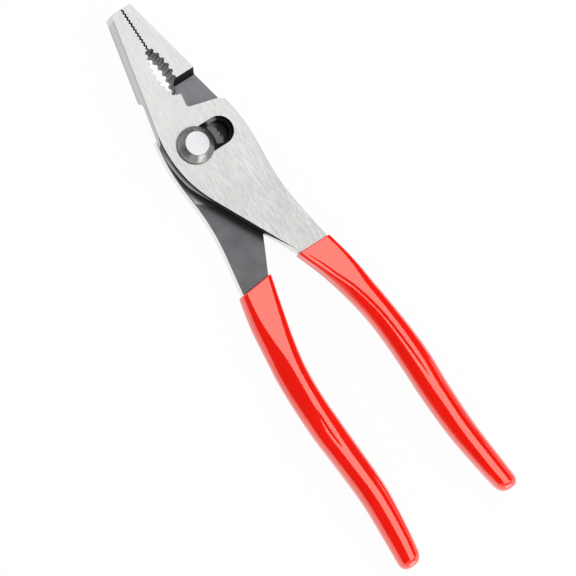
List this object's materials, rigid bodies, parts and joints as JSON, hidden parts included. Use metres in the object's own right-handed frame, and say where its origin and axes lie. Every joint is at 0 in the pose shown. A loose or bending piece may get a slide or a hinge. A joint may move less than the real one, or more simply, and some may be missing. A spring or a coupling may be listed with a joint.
{
  "type": "long nose pliers",
  "caption": "Adjustable long nose pliers with lapped forged halves, a slip joint pivot, toothed tapered jaws with a pipe grip, and dipped red grips.",
  "frame": {"origin": "on the pivot's axis, on the flush outer face of the nut and the bolt's end", "axes": "+X along the tool from the pivot to the handle ends, +Y towards the front half's handle, +Z along the pivot towards the bolt's head"},
  "size_m": [0.2096, 0.0515, 0.0179],
  "materials": {
    "ground_steel": "ground faces, darker forged sides",
    "bolt_steel": "turned",
    "red_dip": "glossy dipped vinyl"
  },
  "bodies": {
    "front": {"front_half": "ground_steel", "front_grip": "red_dip"},
    "pivot": {"pivot_bolt": "bolt_steel", "pivot_nut": "bolt_steel"},
    "rear": {"rear_half": "ground_steel", "rear_grip": "red_dip"}
  },
  "joints": [
    {"name": "slip", "type": "slide", "parent": "front", "child": "pivot", "axis": [0, 1, 0], "range_m": [0, 0.01]},
    {"name": "jaw_pivot", "type": "hinge", "parent": "pivot", "child": "rear", "pos_m": [0, 0, 0.00895], "axis": [0, 0, -1], "range_deg": [0, 60]}
  ]
}
